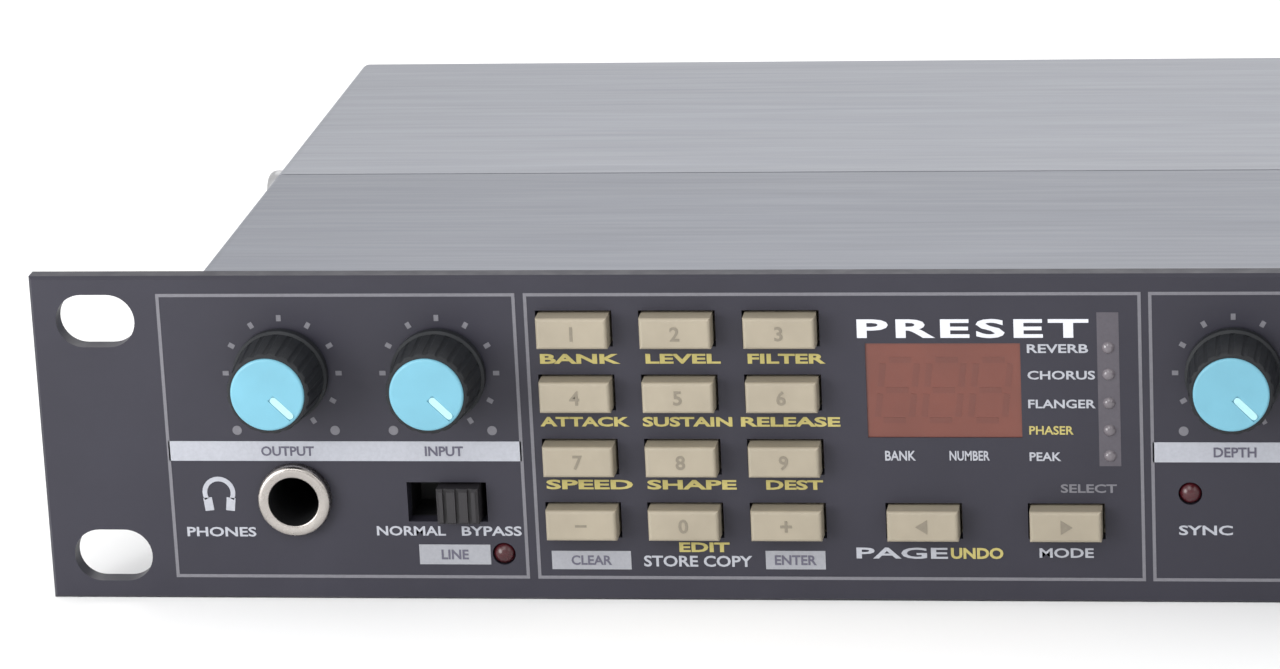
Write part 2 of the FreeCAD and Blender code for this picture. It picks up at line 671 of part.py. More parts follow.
# ---- rear sockets ---------------------------------------------------------------------------------
def rear_jack_bodies():
    """Four quarter-inch jacks for audio in and out."""
    jacks = []
    for x in REAR_JACKS_X:
        housing = box((x - JACK_BODY_W / 2, x + JACK_BODY_W / 2), (REAR_Y - JACK_DEEP, REAR_Y - TRAY_T),
                      (MAIN_BOARD_TOP, MAIN_BOARD_TOP + REAR_JACK_H))
        end = REAR_Y + REAR_BUSH_PROUD
        bushing = rod_y(x, REAR_JACK_Z, (REAR_Y - TRAY_T - ROOT, end), REAR_BUSH_R)
        bore = rod_y(x, REAR_JACK_Z, (REAR_Y - JACK_BORE_DEEP, end + PAST), JACK_BORE_R)
        jacks.append(join([housing, bushing]).cut(bore))
    return Part.makeCompound(jacks)


def rear_jack_nuts():
    """Hexagonal nuts that hold the rear jacks to the rear panel."""
    nut = hexagon(REAR_NUT_FLATS, REAR_NUT_T).cut(Part.makeCylinder(REAR_BUSH_R, REAR_NUT_T))
    return Part.makeCompound([aimed(nut, (0, 1, 0), x, REAR_Y, REAR_JACK_Z) for x in REAR_JACKS_X])


def din_sockets():
    """Housings of three round control sockets, each with a round recess for a plug's shell."""
    face = REAR_Y + DIN_LIP
    sockets = []
    for x in DIN_X:
        body = centred(x, DIN_BODY_W, DIN_Z, DIN_BODY_H, (REAR_Y - SOCKET_DEEP, REAR_Y - TRAY_T))
        barrel = rod_y(x, DIN_Z, (REAR_Y - TRAY_T - ROOT, face), DIN_R)
        recess = rod_y(x, DIN_Z, (face - DIN_RECESS_DEEP, face + PAST), DIN_RECESS_R)
        sockets.append(join([body, barrel]).cut(recess))
    return Part.makeCompound(sockets)


def din_inserts():
    """Round inserts on the floors of the control sockets' recesses, keyed, each with five contact holes."""
    face = REAR_Y + DIN_LIP
    floor = face - DIN_RECESS_DEEP
    through = (floor - PAST, face + PAST)
    angles = [math.radians(angle) for angle in DIN_CONTACT_ANGLES]
    inserts = []
    for x in DIN_X:
        keyway = centred(x, DIN_KEY_W, DIN_Z - DIN_KEY_DROP, DIN_KEY_H, through)
        contacts = [rod_y(x + DIN_CONTACT_RING_R * math.cos(a), DIN_Z + DIN_CONTACT_RING_R * math.sin(a),
                          through, DIN_CONTACT_R) for a in angles]
        inserts.append(carve(rod_y(x, DIN_Z, (floor, face), DIN_INSERT_R), [keyway] + contacts))
    return Part.makeCompound(inserts)


def dc_inlet():
    """Barrel power inlet with its centre pin."""
    face = REAR_Y + DC_LIP
    body = centred(DC_X, DC_BODY_W, DC_Z, DC_BODY_H, (REAR_Y - SOCKET_DEEP, REAR_Y - TRAY_T))
    nozzle = rod_y(DC_X, DC_Z, (REAR_Y - TRAY_T - ROOT, face), DC_NOZZLE_R)
    bore = rod_y(DC_X, DC_Z, (face - DC_BORE_DEEP, face + PAST), DC_BORE_R)
    pin = rod_y(DC_X, DC_Z, (face - DC_BORE_DEEP - FINE, face - DC_LIP), DC_PIN_R)
    return join([join([body, nozzle]).cut(bore), pin])


def power_switch_body():
    """Rocker switch housing with its bezel, pocket and pivot holes."""
    face = REAR_Y + BEZEL_T
    body = centred(ROCKER_X, POWER_BODY_W, ROCKER_Z, POWER_BODY_H, (REAR_Y - POWER_BODY_DEEP, REAR_Y + ROOT))
    bezel = centred(ROCKER_X, BEZEL_W, ROCKER_Z, BEZEL_H, (REAR_Y, face))
    bezel = bezel.makeFillet(BEZEL_EDGE_R, edges_where(bezel, lambda p: p.y > face - FINE))
    pocket = centred(ROCKER_X, 2 * (ROCKER_R + ROCKER_GAP), ROCKER_Z, 2 * (ROCKER_HALF_H + ROCKER_GAP),
                     (ROCKER_PIVOT_Y - ROCKER_POCKET, face + PAST))
    reach = ROCKER_HALF_H + ROCKER_STUB_L + ROCKER_STUB_GAP
    pivot = rod_z(ROCKER_X, ROCKER_PIVOT_Y, (ROCKER_Z - reach, ROCKER_Z + reach), ROCKER_STUB_R + RUN_FIT)
    return join([body, bezel]).cut(pocket).cut(pivot)


def power_rocker():
    """Rocker with a shallow valley, tilted to its off side, on two pivot stubs."""
    reach = ROCKER_R + PAST
    ridge = ROCKER_VALLEY + reach * math.tan(math.radians(ROCKER_TILT))
    foot = ROCKER_FOOT_W / 2
    outline = [(-reach, ridge), (0, ROCKER_VALLEY), (reach, ridge), (reach, ROCKER_SIDE_Y),
               (foot, ROCKER_FOOT_Y), (-foot, ROCKER_FOOT_Y), (-reach, ROCKER_SIDE_Y), (-reach, ridge)]
    points = [FreeCAD.Vector(x, y, -ROCKER_HALF_H) for x, y in outline]
    prism = Part.Face(Part.makePolygon(points)).extrude(FreeCAD.Vector(0, 0, 2 * ROCKER_HALF_H))
    rounded = prism.common(rod_z(0, 0, (-ROCKER_HALF_H, ROCKER_HALF_H), ROCKER_R))
    half = ROCKER_HALF_H + ROCKER_STUB_L
    rocker = join([rounded, rod_z(0, 0, (-half, half), ROCKER_STUB_R)])
    turn = FreeCAD.Rotation(AXIS_Z, ROCKER_TILT)
    rocker.Placement = FreeCAD.Placement(FreeCAD.Vector(ROCKER_X, ROCKER_PIVOT_Y, ROCKER_Z), turn)
    return rocker


# ---- knobs and keys -------------------------------------------------------------------------------
def knob_blank(base_y, skirt_y):
    """Tapered solid of the knob, with a skirt at its foot."""
    outline = [(0, KNOB_FACE_Y), (KNOB_TOP_R - KNOB_EDGE, KNOB_FACE_Y), (KNOB_TOP_R, KNOB_FACE_Y + KNOB_EDGE),
               (KNOB_BASE_R - KNOB_STEP, skirt_y), (KNOB_BASE_R, skirt_y + KNOB_EDGE), (KNOB_BASE_R, base_y),
               (0, base_y), (0, KNOB_FACE_Y)]
    wire = Part.makePolygon([FreeCAD.Vector(r, y, 0) for r, y in outline])
    return Part.Face(wire).revolve(FreeCAD.Vector(0, 0, 0), AXIS_Y, 360)


def knob_flute(angle, skirt_y):
    """Round groove down the side of the knob."""
    foot_r = KNOB_BASE_R + FLUTE_FOOT_OUT
    head_r = KNOB_TOP_R + FLUTE_HEAD_OUT
    foot = FreeCAD.Vector(math.cos(angle) * foot_r, skirt_y, math.sin(angle) * foot_r)
    head = FreeCAD.Vector(math.cos(angle) * head_r, KNOB_FACE_Y - PAST / 2, math.sin(angle) * head_r)
    return Part.makeCylinder(FLUTE_R, (head - foot).Length, foot, head - foot)


def knob_body():
    """Hollow fluted knob with a recess for the cap and a stem that turns in the pot."""
    base_y = -KNOB_LIFT
    skirt_y = base_y - KNOB_SKIRT_T
    seat_y = KNOB_FACE_Y + CAP_SEAT
    hollow_y = (seat_y + CAP_PEG_L + KNOB_ROOF, base_y + PAST)
    hollow = rod_y(0, 0, hollow_y, KNOB_TOP_R - KNOB_WALL).cut(rod_y(0, 0, hollow_y, KNOB_HUB_R))
    seat = rod_y(0, 0, (KNOB_FACE_Y - PAST, seat_y), CAP_R)
    peg_hole = rod_y(0, 0, (KNOB_FACE_Y, seat_y + CAP_PEG_L), CAP_PEG_R)
    flutes = [knob_flute(2 * math.pi * i / KNOB_FLUTES, skirt_y) for i in range(KNOB_FLUTES)]
    stem = rod_y(0, 0, (base_y - ROOT, STEM_END_Y), KNOB_STEM_R)
    return join([carve(knob_blank(base_y, skirt_y), [hollow, seat, peg_hole] + flutes), stem])


def knob_cap():
    """Coloured disc with a softened rim, a pointer groove and a peg, pressed into the knob."""
    face_y = KNOB_FACE_Y - CAP_PROUD
    seat_y = KNOB_FACE_Y + CAP_SEAT
    disc = rod_y(0, 0, (face_y, seat_y), CAP_R)
    disc = disc.makeFillet(CAP_EDGE_R, edges_where(disc, lambda p: p.y < KNOB_FACE_Y))
    groove = box((-CAP_MARK_W / 2, CAP_MARK_W / 2), (face_y - PAST, face_y + CAP_MARK_DEEP), CAP_MARK_R)
    groove.rotate(FreeCAD.Vector(0, 0, 0), AXIS_Y, CAP_MARK_ANGLE)
    peg = rod_y(0, 0, (seat_y - FINE, seat_y + CAP_PEG_L), CAP_PEG_R)
    return join([disc.cut(groove), peg])


def key():
    """Key cap with soft front edges, a retaining flange behind the panel and a round stem."""
    flange_y = PANEL_T + KEY_REST_GAP
    flange_back = flange_y + KEY_FLANGE_T
    cap = centred(0, KEY_W, 0, KEY_H, (-KEY_PROUD, flange_back))
    cap = cap.makeFillet(KEY_EDGE_R, edges_where(cap, lambda p: p.y < FINE - KEY_PROUD))
    flange = centred(0, KEY_FLANGE_W, 0, KEY_FLANGE_H, (flange_y, flange_back))
    stem = rod_y(0, 0, (flange_y, CONTROL_Y - SWITCH_DEEP + KEY_REST_GAP), KEY_STEM_R)
    return join([cap, flange, stem])


# ---- export ---------------------------------------------------------------------------------------
FIXED_PARTS = (front_panel, base_tray, rear_panel, front_deck, top_cover, case_screws, panel_studs,
               panel_nuts, main_board, board_standoffs, board_screws, control_board, board_header, pot_bodies,
               tact_switches, display_module, display_window, indicator_leds, status_leds, phones_jack_body,
               phones_jack_ring, slide_switch_body, slide_switch_lever, processor_chips, capacitors,
               rear_jack_bodies, rear_jack_nuts, din_sockets, din_inserts, dc_inlet, power_switch_body,
               power_rocker)


def key_names():
    """Node name of every key, in the order of KEYS."""
    numbered = ["key_%02d" % (i + 1) for i in range(len(KEY_ROWS_Z) * len(KEY_COLUMNS_X))]
    return numbered + ["key_mode_left", "key_mode_right"]


def build_all():
    """Build every part, in drawing position, as a list of names and shapes."""
    parts = [(build.__name__, build()) for build in FIXED_PARTS]
    body = knob_body()
    cap = knob_cap()
    for i, x in enumerate(KNOBS_X):
        parts.append(("knob_%d_body" % (i + 1), moved(body, x, 0, KNOB_Z)))
        parts.append(("knob_%d_cap" % (i + 1), moved(cap, x, 0, KNOB_Z)))
    one_key = key()
    parts += [(name, moved(one_key, x, 0, z)) for name, (x, z) in zip(key_names(), KEYS)]
    return parts


def middle_depth(parts):
    """Depth half-way between the foremost and rearmost points of all parts."""
    boxes = [shape.BoundBox for _, shape in parts]
    return (min(b.YMin for b in boxes) + max(b.YMax for b in boxes)) / 2


def main():
    """Build the parts, move them to the object's frame and write one file for each."""
    os.makedirs("parts", exist_ok=True)
    parts = build_all()
    shift = -middle_depth(parts)
    print("panel front face at Y = %.4f" % shift)
    for name, shape in parts:
        placed = moved(shape, y=shift)
        if not placed.Solids or not placed.isValid():
            raise ValueError(name + " is not a set of valid solids")
        placed.exportStep("parts/%s.step" % name)
        print("%-20s solids %3d  volume %10.2f" % (name, len(placed.Solids), placed.Volume))


main()
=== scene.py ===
"""Looks of the rack effects unit: materials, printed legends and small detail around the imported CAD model."""
import json
import math

import bmesh
import bpy
from mathutils import Matrix, Vector


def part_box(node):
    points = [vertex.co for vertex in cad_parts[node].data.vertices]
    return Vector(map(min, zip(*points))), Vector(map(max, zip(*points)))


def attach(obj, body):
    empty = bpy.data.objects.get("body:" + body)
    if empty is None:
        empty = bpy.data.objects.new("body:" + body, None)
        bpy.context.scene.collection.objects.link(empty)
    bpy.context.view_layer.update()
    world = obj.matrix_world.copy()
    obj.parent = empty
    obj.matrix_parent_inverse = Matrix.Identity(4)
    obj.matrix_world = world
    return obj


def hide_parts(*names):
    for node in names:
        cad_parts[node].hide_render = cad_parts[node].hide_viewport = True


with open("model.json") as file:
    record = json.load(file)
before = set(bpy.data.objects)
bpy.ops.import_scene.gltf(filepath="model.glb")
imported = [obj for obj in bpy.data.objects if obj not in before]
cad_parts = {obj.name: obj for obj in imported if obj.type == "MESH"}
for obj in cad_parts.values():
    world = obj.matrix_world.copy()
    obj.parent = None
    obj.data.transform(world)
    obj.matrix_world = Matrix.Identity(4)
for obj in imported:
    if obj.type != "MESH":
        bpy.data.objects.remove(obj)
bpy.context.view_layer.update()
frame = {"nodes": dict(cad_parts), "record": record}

MM = 0.001
FRONT, BACK = 0, 180

# ---- places read from the frame, in millimetres --------------------------------------------------


def box_mm(node):
    """Lowest and highest corner of a CAD node, in millimetres."""
    low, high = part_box(node)
    return low / MM, high / MM


def centre_mm(node):
    """Middle of a CAD node's box, in millimetres."""
    low, high = box_mm(node)
    return (low + high) / 2


def solids(node):
    """Centres of the separate solids of a grouped CAD node, in millimetres."""
    work = bmesh.new()
    work.from_mesh(frame["nodes"][node].data)
    bmesh.ops.remove_doubles(work, verts=work.verts, dist=MM / 1000)
    left, found = set(work.verts), []
    while left:
        queue, part = [left.pop()], []
        while queue:
            vert = queue.pop()
            part.append(vert.co / MM)
            near = {edge.other_vert(vert) for edge in vert.link_edges} & left
            left -= near
            queue += near
        low, high = (Vector(pick(p[i] for p in part) for i in range(3)) for pick in (min, max))
        found.append((low + high) / 2)
    work.free()
    return found


PANEL_LOW = box_mm("front_panel")[0]
FACE_Y = PANEL_LOW.y
REAR_Y = box_mm("rear_panel")[1].y
KNOB_NAMES = ["knob_%d" % (i + 1) for i in range(7)]
KNOBS = [centre_mm(name + "_cap") for name in KNOB_NAMES]
KEY_NAMES = ["key_%02d" % (i + 1) for i in range(12)] + ["key_mode_left", "key_mode_right"]
KEYS = {name: centre_mm(name) for name in KEY_NAMES}
LAMPS = sorted(solids("indicator_leds"), key=lambda p: p.x)
EFFECT_LAMPS, METER_LAMPS = LAMPS[1:6], LAMPS[6:]
STATUS_LAMPS = sorted(solids("status_leds"), key=lambda p: -p.z)
REAR_JACKS = sorted(solids("rear_jack_nuts"), key=lambda p: p.x)
DIN_SOCKETS = sorted(solids("din_sockets"), key=lambda p: p.x)

# ---- materials -----------------------------------------------------------------------------------


class Finish:
    """A procedural material: a small node tree around one Principled shader."""

    def __init__(self, name, **shader):
        self.material = bpy.data.materials.new(name)
        self.material.use_nodes = True
        self.tree = self.material.node_tree
        self.tree.nodes.clear()
        self.shader = self.add("ShaderNodeBsdfPrincipled")
        out = self.add("ShaderNodeOutputMaterial")
        self.link(self.shader.outputs["BSDF"], out.inputs["Surface"])
        for socket, value in shader.items():
            self.shader.inputs[socket.replace("_", " ")].default_value = value
        self.coords = self.add("ShaderNodeTexCoord").outputs["Object"]
        self.height = None

    def add(self, kind):
        """New node of a kind."""
        return self.tree.nodes.new(kind)

    def link(self, source, target):
        """Join an output to an input."""
        self.tree.links.new(source, target)

    def noise(self, scale, detail=4.0, stretch=(1, 1, 1), roughness=0.55):
        """Noise over the object, in features per metre, stretched along chosen axes."""
        mapping = self.add("ShaderNodeMapping")
        mapping.inputs["Scale"].default_value = stretch
        self.link(self.coords, mapping.inputs["Vector"])
        node = self.add("ShaderNodeTexNoise")
        node.inputs["Scale"].default_value = scale
        node.inputs["Detail"].default_value = detail
        node.inputs["Roughness"].default_value = roughness
        self.link(mapping.outputs["Vector"], node.inputs["Vector"])
        return node.outputs["Fac"]

    def tint(self, value, colours, low=0.3, high=0.7):
        """Base colour that runs through some colours as a value rises."""
        ramp = self.add("ShaderNodeValToRGB")
        stops = ramp.color_ramp.elements
        stops[0].position, stops[-1].position = low, high
        stops[0].color, stops[-1].color = (*colours[0], 1), (*colours[-1], 1)
        for i, colour in enumerate(colours[1:-1]):
            stop = stops.new(low + (high - low) * (i + 1) / (len(colours) - 1))
            stop.color = (*colour, 1)
        self.link(value, ramp.inputs["Fac"])
        self.link(ramp.outputs["Color"], self.shader.inputs["Base Color"])
        return self

    def gloss(self, value, smooth, rough):
        """Roughness between two limits as a value rises."""
        spread = self.add("ShaderNodeMapRange")
        spread.inputs["From Min"].default_value = 0.3
        spread.inputs["From Max"].default_value = 0.7
        spread.inputs["To Min"].default_value = smooth
        spread.inputs["To Max"].default_value = rough
        self.link(value, spread.inputs["Value"])
        self.link(spread.outputs["Result"], self.shader.inputs["Roughness"])
        return self

    def relief(self, value, strength, depth_mm):
        """Bump of a given depth, added to any bump set before."""
        bump = self.add("ShaderNodeBump")
        bump.inputs["Strength"].default_value = strength
        bump.inputs["Distance"].default_value = depth_mm * MM
        self.link(value, bump.inputs["Height"])
        if self.height:
            self.link(self.height, bump.inputs["Normal"])
        self.height = bump.outputs["Normal"]
        self.link(self.height, self.shader.inputs["Normal"])
        return self


def shades(colour, spread):
    """A darker, a plain and a lighter version of one colour."""
    return [tuple(min(1.0, c * k) for c in colour) for k in (1 - spread, 1.0, 1 + spread)]


def moulded(name, colour, spread=0.05, smooth=0.38, rough=0.5, grain=2600, depth=0.02, **shader):
    """Moulded plastic: faint cloudy colour, fine spark-eroded skin."""
    finish = Finish(name, **shader)
    finish.tint(finish.noise(140, 3.0), shades(colour, spread))
    finish.gloss(finish.noise(420, 3.0), smooth, rough)
    return finish.relief(finish.noise(grain, 2.0), 0.35, depth).material


def paint(name, colour, grain=1500, depth=0.03, smooth=0.38, rough=0.52):
    """Baked satin paint: slight mottling and the fine orange peel of a sprayed coat."""
    finish = Finish(name, Specular_IOR_Level=0.3)
    finish.tint(finish.noise(55, 5.0), shades(colour, 0.08))
    finish.gloss(finish.noise(300, 4.0), smooth, rough)
    finish.relief(finish.noise(grain, 3.0), 0.3, depth)
    return finish.relief(finish.noise(5200, 2.0), 0.25, 0.012).material


def brushed(name, colour, metallic, smooth, rough, spread=0.1):
    """Sheet metal with fine grain lines along its length and broad faint bands."""
    finish = Finish(name, Metallic=metallic, Anisotropic=0.35)
    along = (0.035, 1.0, 1.0)
    finish.tint(finish.noise(430, 6.0, along, 0.7), shades(colour, spread), 0.25, 0.75)
    finish.gloss(finish.noise(900, 4.0, along), smooth, rough)
    finish.relief(finish.noise(1700, 5.0, along, 0.7), 0.3, 0.012)
    return finish.relief(finish.noise(60, 2.0, (0.3, 1.0, 1.0)), 0.12, 0.05).material


def plated(name, colour, smooth, rough, grain=900):
    """Plated metal with faint polishing haze."""
    finish = Finish(name, Metallic=1.0)
    finish.tint(finish.noise(grain / 4, 3.0), shades(colour, 0.05))
    finish.gloss(finish.noise(grain, 4.0), smooth, rough)
    return finish.relief(finish.noise(grain * 2, 3.0), 0.15, 0.01).material


def ink(name, colour):
    """Screen-printed ink: slightly uneven cover, duller than the paint under it."""
    finish = Finish(name, Specular_IOR_Level=0.3)
    finish.tint(finish.noise(2400, 3.0), shades(colour, 0.05))
    finish.gloss(finish.noise(1500, 2.0), 0.5, 0.65)
    return finish.relief(finish.noise(4200, 2.0), 0.3, 0.01).material


def lens(name, colour, spread=0.2, coat=0.5, smooth=0.12, rough=0.2):
    """Tinted clear plastic, unlit: deep uneven colour under a clear skin."""
    finish = Finish(name, Coat_Weight=coat, Coat_Roughness=0.1)
    finish.tint(finish.noise(90, 3.0), shades(colour, spread))
    finish.gloss(finish.noise(700, 2.0), smooth, rough)
    return finish.relief(finish.noise(1200, 2.0), 0.08, 0.01).material


def board_green(name):
    """Solder mask with copper tracks that show faintly through it."""
    finish = Finish(name, Coat_Weight=0.3)
    tracks = finish.noise(260, 1.0, (1.0, 0.25, 1.0))
    finish.tint(tracks, [(0.01, 0.07, 0.03), (0.02, 0.13, 0.05)], 0.48, 0.52)
    finish.gloss(finish.noise(300), 0.3, 0.45)
    return finish.relief(tracks, 0.3, 0.03).material


PANEL_PAINT = paint("panel_paint", (0.027, 0.026, 0.037))
REAR_PAINT = paint("rear_paint", (0.027, 0.026, 0.037))
# The front deck is the same brushed sheet as the top cover, made darker: painted shade for its dimmer
# reflection, not a different metal.
DECK_STEEL_SHADED = brushed("deck_steel_painted_shade", (0.214, 0.223, 0.253), 0.35, 0.42, 0.56)
COVER_STEEL = brushed("cover_steel", (0.262, 0.271, 0.302), 0.35, 0.4, 0.54)
TRAY_STEEL = brushed("tray_steel", (0.28, 0.285, 0.30), 0.5, 0.4, 0.55)
SCREW_STEEL = plated("screw_steel", (0.50, 0.50, 0.51), 0.24, 0.38)
NICKEL = plated("plated_nickel", (0.44, 0.41, 0.385), 0.2, 0.34)
KNOB_BLACK = moulded("knob_black", (0.013, 0.0145, 0.017), 0.15, 0.46, 0.6, Specular_IOR_Level=0.3)
CAP_BLUE = moulded("cap_blue", (0.135, 0.355, 0.455), 0.06, 0.36, 0.46, 3000, 0.015)
KEY_CREAM = moulded("key_cream", (0.30, 0.262, 0.198), 0.07, 0.42, 0.52, 3400, 0.02)
BLACK_PLASTIC = moulded("black_plastic", (0.010, 0.010, 0.011), 0.15, 0.4, 0.55)
ROCKER_BLACK = moulded("rocker_black", (0.010, 0.010, 0.011), 0.15, 0.2, 0.3, 2000, 0.01)
LEVER_GREY = moulded("lever_grey", (0.015, 0.0135, 0.016), 0.1, 0.42, 0.55)
SLEEVE_BLUE = moulded("capacitor_sleeve", (0.02, 0.03, 0.09), 0.1, 0.25, 0.35)
WINDOW_RED = lens("window_red", (0.127, 0.032, 0.020), 0.1, 0.25, 0.3, 0.42)
SEGMENT_RED = lens("segment_red", (0.112, 0.0285, 0.0185), 0.1, 0.25, 0.3, 0.42)
LED_RED = lens("led_red", (0.045, 0.004, 0.007), 0.25, 0.15, 0.25, 0.35)
LED_CLEAR = lens("led_clear", (0.135, 0.12, 0.135), 0.15, 0.4)
BOARD_GREEN = board_green("circuit_board")
INK_GREY = ink("ink_grey", (0.155, 0.153, 0.172))
INK_SHADE = ink("ink_shade", (0.085, 0.078, 0.092))
INK_WHITE = ink("ink_white", (0.365, 0.375, 0.415))
INK_BOX = ink("ink_box", (0.28, 0.285, 0.31))
INK_BRIGHT = ink("ink_bright", (0.62, 0.63, 0.68))
INK_YELLOW = ink("ink_yellow", (0.40, 0.345, 0.12))
INK_DARK = ink("ink_dark", (0.10, 0.095, 0.13))
INK_KEY = ink("ink_key", (0.20, 0.175, 0.135))
INK_POINTER = ink("ink_pointer", (0.36, 0.62, 0.68))

CAD_FINISHES = {
    "front_panel": PANEL_PAINT, "rear_panel": REAR_PAINT, "front_deck": DECK_STEEL_SHADED, "top_cover": COVER_STEEL,
    "base_tray": TRAY_STEEL, "case_screws": SCREW_STEEL, "panel_studs": SCREW_STEEL,
    "panel_nuts": SCREW_STEEL, "board_standoffs": SCREW_STEEL, "board_screws": SCREW_STEEL,
    "main_board": BOARD_GREEN, "control_board": BOARD_GREEN, "display_window": WINDOW_RED,
    "indicator_leds": LED_RED, "status_leds": LED_CLEAR, "phones_jack_ring": NICKEL, "rear_jack_nuts": NICKEL,
    "slide_switch_lever": LEVER_GREY, "capacitors": SLEEVE_BLUE, "power_rocker": ROCKER_BLACK,
}


def cad_finish(node):
    """Finish of a CAD node: its own, or the one its family shares."""
    if node.startswith("knob_"):
        return CAP_BLUE if node.endswith("_cap") else KNOB_BLACK
    if node.startswith("key_"):
        return KEY_CREAM
    return CAD_FINISHES.get(node, BLACK_PLASTIC)


for node_name, node_object in frame["nodes"].items():
    for material_slot in node_object.material_slots:
        material_slot.material = cad_finish(node_name)


def add_piece(name, work, body, material, smooth=False):
    """One object from a closed mesh, riding on a body."""
    bmesh.ops.recalc_face_normals(work, faces=work.faces)
    mesh = bpy.data.meshes.new(name)
    work.to_mesh(mesh)
    work.free()
    mesh.materials.append(material)
    if smooth:
        mesh.shade_smooth()
    piece = bpy.data.objects.new(name, mesh)
    bpy.context.scene.collection.objects.link(piece)
    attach(piece, body)
    return piece


# ---- printed legends -----------------------------------------------------------------------------
INK_T = 0.05
PLAIN, HEAVY, HEAVIEST = 0.02, 0.028, 0.034


class Print:
    """Ink shapes on one upright plane, gathered into one thin closed mesh. Lengths are millimetres.

    The plane passes through an origin and is turned about the vertical: 0 faces the front, 180 the back.
    Places are measured to the reader's right and up from the origin.
    """

    def __init__(self, origin, angle=FRONT, thick=INK_T):
        self.origin = Vector(origin)
        turn = math.radians(angle)
        self.right = Vector((math.cos(turn), math.sin(turn), 0))
        self.out = Vector((math.sin(turn), -math.cos(turn), 0)) * thick
        self.work = bmesh.new()

    def place(self, x, z, lift):
        """Point on the plane, lifted off it by a share of the ink's thickness."""
        return (self.origin + self.right * x + self.out * lift + Vector((0, 0, z))) * MM

    def polygon(self, points):
        """Closed convex outline as a thin plate."""
        rings = [[self.work.verts.new(self.place(x, z, lift)) for x, z in points] for lift in (0, 1)]
        self.work.faces.new(rings[0])
        self.work.faces.new(list(reversed(rings[1])))
        for i in range(len(points)):
            j = (i + 1) % len(points)
            self.work.faces.new((rings[0][j], rings[0][i], rings[1][i], rings[1][j]))

    def bar(self, x, z, width, height):
        """Filled rectangle about a centre."""
        w, h = width / 2, height / 2
        self.polygon([(x - w, z - h), (x + w, z - h), (x + w, z + h), (x - w, z + h)])

    def stroke(self, a, b, width):
        """Straight line of a width between two points."""
        a, b = Vector(a), Vector(b)
        across = (b - a).orthogonal().normalized() * width / 2
        self.polygon([tuple(p) for p in (a + across, a - across, b - across, b + across)])

    def frame(self, x0, x1, z0, z1, width):
        """Rectangle drawn as four lines."""
        for z in (z0, z1):
            self.bar((x0 + x1) / 2, z, x1 - x0 + width, width)
        for x in (x0, x1):
            self.bar(x, (z0 + z1) / 2, width, z1 - z0 - width)

    def disc(self, x, z, radius, steps=20):
        """Filled circle."""
        turn = [2 * math.pi * i / steps for i in range(steps)]
        self.polygon([(x + radius * math.cos(t), z + radius * math.sin(t)) for t in turn])

    def arc(self, x, z, radius, width, start, end, steps=16):
        """Curved line between two angles in degrees, counter-clockwise from the right."""
        angles = [math.radians(start + (end - start) * i / steps) for i in range(steps + 1)]
        near, far = radius - width / 2, radius + width / 2
        rows = []
        for r, lift in ((near, 0), (far, 0), (far, 1), (near, 1)):
            points = [self.place(x + r * math.cos(t), z + r * math.sin(t), lift) for t in angles]
            rows.append([self.work.verts.new(point) for point in points])
        for i in range(steps):
            for a in range(4):
                b = (a + 1) % 4
                self.work.faces.new((rows[a][i], rows[b][i], rows[b][i + 1], rows[a][i + 1]))
        self.work.faces.new([row[0] for row in reversed(rows)])
        self.work.faces.new([row[-1] for row in rows])

    def words(self, text, x, z, height, width=None, heavy=PLAIN, spacing=1.0, to_right=False):
        """Lettering about or right of a point: height is that of the capitals, width stretches the line."""
        curve = bpy.data.curves.new("lettering", "FONT")
        curve.body = text
        curve.extrude = 0.5
        curve.offset = heavy
        curve.space_character = spacing
        curve.resolution_u = 3
        holder = bpy.data.objects.new("lettering", curve)
        bpy.context.scene.collection.objects.link(holder)
        mesh = bpy.data.meshes.new_from_object(holder.evaluated_get(bpy.context.evaluated_depsgraph_get()))
        xs = [v.co.x for v in mesh.vertices]
        ys = [v.co.y for v in mesh.vertices]
        up = height / (max(ys) - min(ys))
        across = width / (max(xs) - min(xs)) if width else up
        start_x = min(xs) if to_right else (min(xs) + max(xs)) / 2
        middle_y = (min(ys) + max(ys)) / 2
        for vert in mesh.vertices:
            spot = x + (vert.co.x - start_x) * across, z + (vert.co.y - middle_y) * up
            vert.co = self.place(*spot, vert.co.z + curve.extrude)
        self.work.from_mesh(mesh)
        bpy.data.objects.remove(holder)
        bpy.data.meshes.remove(mesh)
        bpy.data.curves.remove(curve)

    def build(self, name, body, slot, material):
        """The finished print as one piece."""
        return add_piece(name, self.work, body, material)


# Front legends, in places from the panel's left and lower edges. Each row of WHITE_WORDS is text,
# middle, height above the lower edge and width; WHITE_BOXES adds the box's height.
FRONT_ORIGIN = (PANEL_LOW.x, FACE_Y, PANEL_LOW.z)
LINE_W = 0.42
FRAME_Z = (3.15, 41.1)
SECTIONS = ((16.7, 62.75), (64.25, 142.0), (143.35, 245.75), (247.3, 465.9))
BAR_Z, BAR_H = 20.2, 2.65
SMALL, TINY, MEDIUM = 1.3, 1.15, 1.5
DIAL_R, DIAL_TICK, DIAL_W, DIAL_STEP, DIAL_END = 7.35, 0.8, 0.6, 30, 150
DOT_SIDE, DOT_DROP, DOT_R = 6.4, 7.7, 0.62
LIST_LEFT, LIST_PITCH_X = 352.0, 28.0
LIST_TOP, LIST_PITCH_Z = 15.0, 3.2
LIST_ROWS, LIST_NUMBER_X, LIST_NAME_X = 4, -6.4, -3.4
LAMP_WORD_SHIFT, LAMP_WORD_DROP, METER_WORD_DROP = 1.9, 4.9, 4.0
YELLOW_SHIFT, YELLOW_ROW_SHIFT = 0.6, 0.2
YELLOW_STATUS = 3

